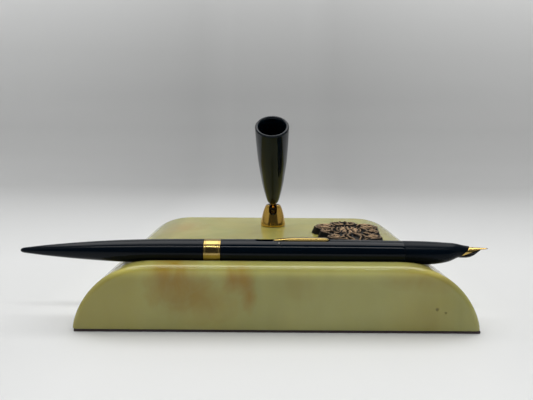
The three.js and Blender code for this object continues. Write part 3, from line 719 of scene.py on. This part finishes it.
def band():
    outer = fillet([(4.5, -28.35), (4.95, -28.35), (4.95, -21.9), (4.5, -21.9)], [0, 0.14, 0.14, 0], 4)
    # two fine turned lines near the band's edges
    body = []
    for r, x in outer:
        body.append((r, x))
    mid = []
    for centre in (-27.75, -22.50):
        mid.append(centre)
    profile = [p for p in body if p[1] <= -28.15]
    for c in mid:
        profile += [(4.95, c - 0.16), (4.885, c - 0.05), (4.885, c + 0.05), (4.95, c + 0.16)]
    profile += [p for p in body if p[1] >= -22.1]
    o = mesh_object("gold_band", scaled(revolve(profile, 96, "X", closed=True), PEN_M), None, 30)
    finish_piece(o, "pen", "gold", BAND_GOLD, "trim_band")


def barrel():
    rows = [(-21.8, 4.88), (-16, 4.93), (-8, 4.97), (7, 4.97), (22, 4.97), (34, 4.9), (42, 4.8), (49.2, 4.7)]
    profile = [(3.85, -28.4), (4.38, -28.4), (4.38, -21.85), (4.80, -21.83), (4.87, -21.75)]
    profile += [(r, x) for x, r in catmull(rows, 1.2)][1:]
    profile += [(4.67, 49.27), (4.64, 49.3), (3.85, 49.3)]
    o = mesh_object("pen_barrel", scaled(revolve(profile, 112, "X", closed=True), PEN_M))
    r = 1.9
    x0, x1 = -8.2 + r, 20.9 - r
    bm = bmesh.new()
    loop = [(x1 + r * math.cos(a), r * math.sin(a)) for a in [math.radians(-90 + 180 * k / 24) for k in range(25)]]
    loop += [(x0 + r * math.cos(a), r * math.sin(a)) for a in [math.radians(90 + 180 * k / 24) for k in range(25)]]
    low = [bm.verts.new((x, y, 0.0)) for x, y in loop]
    high = [bm.verts.new((x, y, 7.0)) for x, y in loop]
    for k in range(len(loop)):
        j = (k + 1) % len(loop)
        bm.faces.new((low[k], low[j], high[j], high[k]))
    bm.faces.new(list(reversed(low)))
    bm.faces.new(high)
    bmesh.ops.recalc_face_normals(bm, faces=bm.faces)
    slot_cut = mesh_object("slot_cut", scaled(bm, PEN_M))
    pin_cut = rod("pin_cut", 0.5, -4, 4, "Y", PEN_M, (LEVER_X, 0, LEVER_Z), 32)
    boolean(o, [slot_cut, pin_cut])
    bevel = o.modifiers.new("ease", "BEVEL")
    bevel.width = 0.10 * MM
    bevel.segments = 2
    bevel.limit_method = "ANGLE"
    bevel.angle_limit = math.radians(40)
    apply_modifiers(o)
    smooth(o, 35)
    weighted(o)
    finish_piece(o, "pen", "pen_black", PEN_BLACK, "barrel")


def lever():
    """Lofted bar: rounded on top, flat below, thin at the pivot and spoon-ended."""
    rows = [  # x, half width, underside, top
        (-1.3, 0.72, 4.35, 4.86), (-1.0, 0.95, 4.10, 5.00), (0.0, 1.10, 3.50, 5.20), (1.5, 1.28, 3.30, 5.42), (3.0, 1.37, 3.86, 5.57), (5.0, 1.43, 4.19, 5.70),
        (9.0, 1.48, 4.20, 5.78), (14.0, 1.49, 4.22, 5.80), (17.4, 1.50, 4.25, 5.80), (18.9, 1.50, 4.30, 5.75), (19.5, 1.37, 4.38, 5.63),
        (20.0, 1.02, 4.50, 5.44), (20.3, 0.58, 4.64, 5.24), (20.4, 0.22, 4.80, 5.06)]
    tabs = [[(r[0], r[k]) for r in rows] for k in (1, 2, 3)]
    xs = sorted({round(x, 3) for x, _ in catmull(tabs[0], 0.45)})
    bm = bmesh.new()
    rings = []
    for x in xs:
        w, lo, hi = (table(catmull(t, 0.45), x) for t in tabs)
        mid, crown = (lo + hi) / 2, (hi - lo) / 2
        ring = []
        for k in range(28):
            a = 2 * math.pi * k / 28
            c, s = math.cos(a), math.sin(a)
            # a soft rectangle, rounder above than below
            p = 2.6 if s > 0 else 5.0
            ring.append(bm.verts.new((x, w * math.copysign(abs(c) ** (2 / p), c), mid + crown * math.copysign(abs(s) ** (2 / p), s))))
        rings.append(ring)
    for a, b in zip(rings, rings[1:]):
        for k in range(28):
            j = (k + 1) % 28
            bm.faces.new((a[k], a[j], b[j], b[k]))
    bm.faces.new(list(reversed(rings[0])))
    bm.faces.new(rings[-1])
    bmesh.ops.recalc_face_normals(bm, faces=bm.faces)
    o = mesh_object("gold_lever", scaled(bm, PEN_M))
    # The short arm that reaches the pressure bar.
    bm = bmesh.new()
    side = [(-1.7, 4.25), (-1.62, 3.95), (-2.2, 3.68), (-2.36, 3.4), (-2.33, 3.2), (-2.05, 3.02), (-1.0, 3.0), (0.5, 3.02), (1.4, 3.22), (1.4, 4.9), (-0.6, 4.7)]
    left = [bm.verts.new((x, -0.95, z)) for x, z in side]
    right = [bm.verts.new((x, 0.95, z)) for x, z in side]
    n = len(side)
    for k in range(n):
        j = (k + 1) % n
        bm.faces.new((left[k], left[j], right[j], right[k]))
    bm.faces.new(list(reversed(left)))
    bm.faces.new(right)
    bmesh.ops.recalc_face_normals(bm, faces=bm.faces)
    arm = mesh_object("lever_arm", scaled(bm, PEN_M))
    boolean(o, [arm], "UNION")
    boolean(o, [rod("pin_hole", 0.5, -4, 4, "Y", PEN_M, (LEVER_X, 0, LEVER_Z), 32)])
    smooth(o, 38)
    finish_piece(o, "lever", "gold", LEVER_GOLD, "filling_lever")


SECTION_RISE = [(58.6, 0), (62.4, 0.06), (65.9, 0.22), (67.8, 0.45), (69.4, 0.75), (70.8, 0.97), (72.3, 0.92), (74.0, 0.77), (76.5, 0.6)]


def section():
    rows = [(49.9, 4.68), (53.0, 4.66), (56.0, 4.62), (58.6, 4.55), (62.4, 4.32), (65.9, 3.95), (67.8, 3.62), (69.4, 3.2), (70.8, 2.76),
            (72.3, 2.48), (74.0, 2.28), (76.5, 2.12)]
    profile = [(0, 29.2), (1.9, 29.2), (1.9, 39.0), (3.75, 39.0), (3.75, 49.35), (4.60, 49.35), (4.65, 49.39), (4.68, 49.46), (4.69, 49.6)]
    profile += [(r, x) for x, r in catmull(rows, 0.55)]
    profile += [(0, 76.5)]
    bm = revolve(profile, 96, "X")
    rise = catmull(SECTION_RISE, 0.4)
    for v in bm.verts:
        v.co.z += table(rise, v.co.x)
    o = mesh_object("pen_section", scaled(bm, PEN_M))
    wedge = Matrix.Translation(Vector((73.2, 0, 0.66))) @ Matrix.Rotation(math.radians(45), 4, "Y")
    boolean(o, [
        block("mouth_cut", 0, 20, -6, 6, -10, 10, PEN_M @ wedge),
        rod("bore_cut", NIB_R + 0.07, 59.5, 82, "X", PEN_M, (0, 0, NIB_CZ), 96),
        rod("channel_cut", 0.75, 28, 61, "X", PEN_M, (0, 0, 0), 32),
    ])
    bevel = o.modifiers.new("ease", "BEVEL")
    bevel.width = 0.12 * MM
    bevel.segments = 3
    bevel.limit_method = "ANGLE"
    bevel.angle_limit = math.radians(40)
    apply_modifiers(o)
    smooth(o, 35)
    weighted(o)
    finish_piece(o, "pen", "section_black", SECTION_BLACK, "grip_section")


NIB_RAD = [(60.0, NIB_R), (73, NIB_R), (75, 1.82), (77, 1.62), (79, 1.32), (81, 0.98), (82.3, 0.8)]
NIB_TOPZ = [(60.0, NIB_CZ + NIB_R), (73, NIB_CZ + NIB_R), (79, NIB_CZ + NIB_R - 0.22), (82.3, NIB_CZ + NIB_R - 0.42)]
NIB_EDGE = [(60.4, -0.85), (71.6, -0.85), (72.6, -0.62), (74.6, 0.2), (76.6, 1.0), (78.4, 1.55), (80.2, 1.80), (82.3, 1.86)]


def nib():
    """Sheet gold rolled round the feed: shoulders sweep up to the point, with a slit and a breather hole."""
    xs = [60.4 + (82.3 - 60.4) * k / 72 for k in range(73)]
    across = 48
    bm = bmesh.new()
    outer, inner = [], []
    for x in xs:
        R = table(NIB_RAD, x)
        top = table(NIB_TOPZ, x)
        cz = top - R
        low = max(-R * 0.79, min(table(NIB_EDGE, x) - cz, R * 0.985))
        half = math.acos(max(-0.79, min(0.999, low / R)))
        t = NIB_T * (0.95 if x < 80 else 0.8)
        ro, ri = [], []
        for k in range(across + 1):
            a = -half + 2 * half * k / across
            ro.append(bm.verts.new((x, R * math.sin(a), cz + R * math.cos(a))))
            ri.append(bm.verts.new((x, (R - t) * math.sin(a), cz + (R - t) * math.cos(a))))
        outer.append(ro)
        inner.append(ri)
    for i in range(len(xs) - 1):
        for k in range(across):
            bm.faces.new((outer[i][k], outer[i][k + 1], outer[i + 1][k + 1], outer[i + 1][k]))
            bm.faces.new((inner[i][k], inner[i + 1][k], inner[i + 1][k + 1], inner[i][k + 1]))
        for k, flip in ((0, False), (across, True)):
            q = (outer[i][k], outer[i + 1][k], inner[i + 1][k], inner[i][k])
            bm.faces.new(q if not flip else tuple(reversed(q)))
    for i, flip in ((0, False), (len(xs) - 1, True)):
        for k in range(across):
            q = (outer[i][k], inner[i][k], inner[i][k + 1], outer[i][k + 1])
            bm.faces.new(q if not flip else tuple(reversed(q)))
    bmesh.ops.recalc_face_normals(bm, faces=bm.faces)
    o = mesh_object("gold_nib", scaled(bm, PEN_M))
    boolean(o, [
        block("slit_cut", 77.0, 83, -0.045, 0.045, 1.2, 4, PEN_M),
        rod("vent_cut", 0.36, 1.2, 4, "Z", PEN_M, (76.8, 0, 0), 32),
    ])
    smooth(o, 35)
    finish_piece(o, "pen", "gold", GOLD, "nib")


def nib_tip():
    bm = bmesh.new()
    bmesh.ops.create_icosphere(bm, subdivisions=4, radius=1.0)
    for v in bm.verts:
        x, y, z = v.co
        # a ground flat where it meets the paper
        v.co = Vector((82.72 + 0.36 * x, 0.30 * y, 1.98 + 0.28 * max(z, -0.82)))
    o = mesh_object("hard_tip", scaled(bm, PEN_M), None, 40)
    finish_piece(o, "pen", "tip_alloy", TIP, "nib_tip")


# ------------------------------------------------------------------ holder
def trumpet():
    rows = [(7.6, 3.02), (7.85, 3.12), (9.6, 3.53), (12.6, 4.1), (17.0, 4.85), (21.5, 5.46), (25.6, 5.9), (30.0, 6.35), (35.2, 6.82), (40.7, 7.14),
            (45.0, 7.33), (49.5, 7.49), (53.2, 7.59), (54.6, 7.62)]
    inside = [(54.7, 6.08), (50.0, 5.95), (42.0, 5.75), (36.0, 5.45), (30.0, 5.05), (24.0, 4.4), (18.0, 3.5), (14.6, 2.95)]
    profile = [(1.42, 7.15), (2.35, 7.15), (2.68, 7.19), (2.88, 7.33)]
    profile += [(r, h) for h, r in catmull(rows, 0.7)]
    profile += [(7.62, 54.9), (7.56, 55.2), (7.39, 55.42), (7.10, 55.54), (6.76, 55.55), (6.44, 55.40), (6.22, 55.14), (6.12, 54.85)]
    ins = list(reversed(catmull(list(reversed(inside)), 0.9)))
    profile += [(r, h) for h, r in ins]
    profile += [(2.42, 14.0), (2.42, 10.4), (1.42, 10.4)]
    o = mesh_object("holder_trumpet", scaled(revolve(profile, 112, "Z", closed=True), TILT_M), None, 32)
    finish_piece(o, "trumpet", "trumpet_black", TRUMPET_BLACK, "trumpet_shell")


def liner():
    outer = [(14.9, 2.7), (18.0, 3.32), (24.0, 4.2), (30.0, 4.85), (36.0, 5.25), (41.5, 5.52), (43.7, 5.59)]
    inner = [(15.8, 2.1), (18.0, 2.7), (24.0, 3.6), (30.0, 4.25), (36.0, 4.7), (41.5, 5.0), (43.7, 5.24)]
    profile = [(0, 14.9)] + [(r, h) for h, r in catmull(outer, 0.9)]
    profile += [(5.58, 43.9), (5.46, 44.0), (5.34, 43.92)]
    profile += [(r, h) for h, r in reversed(catmull(inner, 0.9))] + [(0, 15.8)]
    o = mesh_object("holder_liner", scaled(revolve(profile, 96, "Z"), TILT_M), None, 32)
    finish_piece(o, "trumpet", "liner_black", LINER_BLACK, "trumpet_liner")


def housing():
    rows = [(TOP + 0.8, 6.46), (TOP + 1.3, 6.4), (TOP + 2.4, 6.25), (TOP + 4.0, 5.96), (TOP + 5.6, 5.62), (TOP + 7.2, 5.22), (TOP + 8.8, 4.73),
            (TOP + 9.9, 4.3), (TOP + 10.5, 4.01)]
    profile = [(3.6, TOP + 0.1), (6.06, TOP + 0.1), (6.25, TOP + 0.16), (6.38, TOP + 0.32), (6.45, TOP + 0.56)]
    profile += [(r, h) for h, r in catmull(rows, 0.35)]
    profile += [(3.78, TOP + 10.85), (3.48, TOP + 11.12), (3.12, TOP + 11.27), (2.72, TOP + 11.29), (2.54, TOP + 11.22), (2.45, TOP + 11.05)]
    seat = []
    for i in range(17):
        a = math.acos(2.3 / 3.4) * (1 - i / 16)
        seat.append((3.4 * math.cos(a), PIVOT_Z + 3.4 * math.sin(a)))
    profile += seat
    profile += [(3.4, TOP + 2.3), (4.75, TOP + 2.0), (4.75, TOP + 0.65), (3.6, TOP + 0.6)]
    o = mesh_object("swivel_bell", scaled(revolve(profile, 112, "Z", closed=True), SWIVEL_M))
    boolean(o, [
        block("slot_cut", -2.1, 2.1, -10, 0, PIVOT_Z, PIVOT_Z + 8, SWIVEL_M),
        rod("slot_round", 2.1, -10, 0, "Y", SWIVEL_M, (0, 0, PIVOT_Z), 48),
    ])
    bevel = o.modifiers.new("ease", "BEVEL")
    bevel.width = 0.12 * MM
    bevel.segments = 3
    bevel.limit_method = "ANGLE"
    bevel.angle_limit = math.radians(42)
    apply_modifiers(o)
    smooth(o, 35)
    weighted(o)
    finish_piece(o, "swivel", "brass", BELL_BRASS, "swivel_housing")


def stem():
    profile = []
    for i in range(41):
        a = -math.pi / 2 + i / 40 * (math.pi / 2 + math.acos(1.6 / 3.25))
        profile.append((0 if i == 0 else 3.25 * math.cos(a), 3.25 * math.sin(a)))
    profile += fillet([(1.58, 3.0), (1.5, 4.3), (1.55, 5.2), (2.0, 5.9), (2.1, 6.3), (2.1, 7.0), (1.3, 7.05)], [0, 0.5, 0.4, 0.3, 0.2, 0.15, 0], 5)
    # the threaded end, hidden inside the holder
    h = 7.3
    while h < 12.9:
        profile += [(1.30, h), (1.18, h + 0.16), (1.30, h + 0.32)]
        h += 0.4
    profile += [(1.3, 13.0), (1.05, 13.3), (0, 13.3)]
    o = mesh_object("ball_and_stem", scaled(revolve(profile, 64, "Z"), TILT_M), None, 32)
    finish_piece(o, "stem", "brass", BALL_BRASS, "ball_stem")


# ------------------------------------------------------------------ ornament
BADGE_HALF = [(0, -22.8), (3.6, -21.6), (6.6, -19.2), (10.2, -18.6), (12.8, -16.2), (12.6, -13.0), (10.4, -10.6), (11.4, -7.4), (14.0, -4.6),
              (14.6, -1.2), (13.6, 2.2), (15.6, 5.6), (16.4, 9.6), (15.0, 13.2), (11.4, 15.2), (8.4, 15.4), (7.2, 17.4), (6.6, 20.2), (3.6, 21.8), (0, 23.4)]


def spline_loop(points, per):
    """Closed Catmull-Rom loop through 2-D points."""
    out = []
    n = len(points)
    for i in range(n):
        p0, p1, p2, p3 = (Vector(points[(i + d) % n]) for d in (-1, 0, 1, 2))
        for k in range(per):
            t = k / per
            out.append(0.5 * ((2 * p1) + (p2 - p0) * t + (2 * p0 - 5 * p1 + 4 * p2 - p3) * t * t + (3 * p1 - p0 - 3 * p2 + p3) * t ** 3))
    return out


def scroll(cx, cy, r0, turns, start, hand):
    """Spiral volute as a list of (x, y)."""
    out = []
    n = int(34 * turns)
    for k in range(n + 1):
        t = k / n
        a = start + hand * 2 * math.pi * turns * t
        r = r0 * (1 - 0.86 * t)
        out.append((cx + r * math.cos(a), cy + r * math.sin(a)))
    return out


def stroke_list():
    """Leaf ribs, volutes and a bordered boss: (points, half width, height) for the right half, mirrored later."""
    right = []
    right.append((scroll(10.4, 9.6, 4.3, 1.6, math.radians(150), -1), 0.72, 1.35))
    right.append((scroll(8.3, -14.4, 3.1, 1.5, math.radians(200), 1), 0.62, 1.20))
    right.append((scroll(10.9, -1.4, 2.5, 1.3, math.radians(90), -1), 0.55, 1.10))

    def arc(points):
        return [tuple(p) for p in bezier(points, 26)]

    right.append((arc([(1.6, 13.0), (4.6, 12.2), (6.0, 15.6), (4.6, 19.6)]), 0.62, 1.25))
    right.append((arc([(0.8, 12.8), (2.4, 14.6), (2.8, 17.8), (1.3, 21.4)]), 0.62, 1.35))
    right.append((arc([(6.8, 6.2), (8.6, 4.6), (10.2, 3.4), (12.6, 3.6)]), 0.55, 1.10))
    right.append((arc([(6.6, 4.6), (9.0, 2.8), (9.6, -3.6), (6.8, -6.4)]), 0.58, 1.20))
    right.append((arc([(6.0, -6.8), (8.4, -8.0), (9.4, -9.8), (8.6, -11.2)]), 0.55, 1.10))
    right.append((arc([(1.0, -9.4), (3.4, -11.4), (3.8, -15.8), (1.2, -21.2)]), 0.66, 1.30))
    right.append((arc([(2.8, -9.6), (5.8, -11.0), (5.4, -15.6), (4.0, -18.9)]), 0.55, 1.10))
    right.append((arc([(5.6, 9.6), (6.8, 11.4), (6.6, 13.2), (8.2, 14.0)]), 0.52, 1.10))
    right.append((arc([(12.9, 5.8), (14.4, 7.0), (14.9, 8.8), (14.6, 11.0)]), 0.48, 1.05))
    right.append((arc([(12.2, -3.8), (13.4, -2.8), (13.6, -1.0), (12.9, 0.9)]), 0.46, 1.05))
    return right


def bezier(p, n):
    p = [Vector(q) for q in p]
    return [(1 - t) ** 3 * p[0] + 3 * (1 - t) ** 2 * t * p[1] + 3 * (1 - t) * t * t * p[2] + t ** 3 * p[3] for t in [k / n for k in range(n + 1)]]


def ornament():
    """Cast relief: height field over the outline, from an even grid cut to the outline, with a thick dark edge."""
    half = BADGE_HALF
    loop = [Vector(p) for p in half[1:-1]] + [Vector(half[-1])] + [Vector((-x, y)) for x, y in reversed(half[1:-1])] + [Vector(half[0])]
    edge = spline_loop([tuple(p) for p in loop], 6)
    strokes = []
    for points, width, height in stroke_list():
        strokes.append((points, width, height))
        strokes.append(([(-x, y) for x, y in points], width, height))
    # the raised rim follows the outline a little inside it
    samples = []
    for points, width, height in strokes:
        n = len(points)
        for i, (x, y) in enumerate(points):
            t = i / (n - 1)
            taper = 0.55 + 0.45 * math.sin(math.pi * min(1.0, t * 1.15 + 0.08))
            samples.append((x, y, width * taper * 1.15, height))
    from mathutils import kdtree

    tree = kdtree.KDTree(len(samples))
    for i, s in enumerate(samples):
        tree.insert((s[0], s[1], 0), i)
    tree.balance()
    rim_tree = kdtree.KDTree(len(edge))
    for i, p in enumerate(edge):
        rim_tree.insert((p.x, p.y, 0), i)
    rim_tree.balance()

    def relief(x, y):
        best = 0.0
        for co, i, d in tree.find_range((x, y, 0), 1.5):
            _, _, w, h = samples[i]
            if d < w * 1.25:
                u = d / (w * 1.25)
                best = max(best, h * (1 - u * u) ** 0.75)
        # centre rosette: eight petals round a bead, inside a beaded ring
        ex, ey = x / 5.2, (y - 0.8) / 6.9
        q = math.sqrt(ex * ex + ey * ey)
        a = math.atan2(ey, ex)
        if q < 0.20:
            best = max(best, 0.85 + 0.5 * math.sqrt(1 - (q / 0.20) ** 2))
        elif q < 0.98:
            petal = abs(math.cos(4 * a)) ** 0.8
            best = max(best, (0.10 + 1.30 * petal) * max(0.0, 1 - ((q - 0.62) / 0.37) ** 2) ** 0.6)
        elif q < 1.24:
            bead = 0.5 + 0.5 * math.cos(a * 22)
            best = max(best, (0.35 + 0.75 * bead) * max(0.0, 1 - ((q - 1.11) / 0.12) ** 2) ** 0.5)
        d_rim = rim_tree.find((x, y, 0))[2]
        if d_rim < 1.5:
            chip = 0.80 + 0.45 * noise.noise(Vector((x * 0.55, y * 0.55, 2.0)))
            best = max(best, chip * max(0.0, 1 - ((d_rim - 0.75) / 0.75) ** 2) ** 0.6)
            best *= min(1.0, d_rim / 0.28 + 0.15)
        grit = noise.noise(Vector((x * 3.1, y * 3.1, 0))) * 0.05 + noise.noise(Vector((x * 7.3, y * 7.3, 4))) * 0.03
        return max(0.0, best) + grit

    def inside(x, y):
        hit = False
        n = len(edge)
        j = n - 1
        for i in range(n):
            yi, yj = edge[i].y, edge[j].y
            if (yi > y) != (yj > y) and x < (edge[j].x - edge[i].x) * (y - yi) / (yj - yi) + edge[i].x:
                hit = not hit
            j = i
        return hit

    step = 0.24
    bm = bmesh.new()
    # triangulate the outline with interior points, so that the edge stays exact
    from mathutils.geometry import delaunay_2d_cdt

    pts = [Vector((p.x, p.y)) for p in edge]
    n_edge = len(pts)
    x = -17.0
    row = 0
    y = -23.5
    while y < 24.2:
        x = -17.0 + (step / 2 if row % 2 else 0)
        while x < 17.2:
            if inside(x, y) and rim_tree.find((x, y, 0))[2] > step * 0.6:
                pts.append(Vector((x, y)))
            x += step
        y += step * 0.87
        row += 1
    verts, edges, faces, *_ = delaunay_2d_cdt(pts, [(i, (i + 1) % n_edge) for i in range(n_edge)], [], 1, 1e-5)
    FLOOR_H = 2.45
    top = []
    for v in verts:
        h = FLOOR_H + relief(v.x, v.y) * 1.05
        top.append(bm.verts.new((v.x * 0.955, v.y * 0.955, h)))
    for f in faces:
        bm.faces.new([top[i] for i in f])
    bmesh.ops.recalc_face_normals(bm, faces=bm.faces)
    if sum(f.normal.z for f in bm.faces) < 0:
        bmesh.ops.reverse_faces(bm, faces=bm.faces)
    rim = [e for e in bm.edges if e.is_boundary]
    # sides: slightly drafted, as a casting leaves the mould
    ext = bmesh.ops.extrude_edge_only(bm, edges=rim)
    low = [g for g in ext["geom"] if isinstance(g, bmesh.types.BMVert)]
    for v in low:
        v.co = Vector((v.co.x / 0.955 * 1.02, v.co.y / 0.955 * 1.02, 0.02))
    bottom = [e for e in bm.edges if e.is_boundary]
    bmesh.ops.edgeloop_fill(bm, edges=bottom)
    bmesh.ops.recalc_face_normals(bm, faces=bm.faces)
    o = mesh_object("leaf_scroll_casting", scaled(bm, Matrix.Translation(Vector((BADGE[0], BADGE[1], TOP)))), None, 55)
    finish_piece(o, "base", "bronze", BRONZE, "ornament_casting")


# ------------------------------------------------------------------ build
camera()
stage()
stone()
felt()
ornament()
tail()
band()
barrel()
lever()
section()
nib()
nib_tip()
trumpet()
liner()
housing()
stem()

dress("pivot_stud", BRASS)
dress("stem_nut", BRASS)
for node in ("flat_washer", "spring_washer", "hex_nut", "friction_spring", "lever_pin"):
    dress(node, STEEL)
dress("pressure_bar", BAR_STEEL)
dress("ball_follower", NYLON)
dress("ink_sac", RUBBER)
dress("feed", FEED_BLACK)
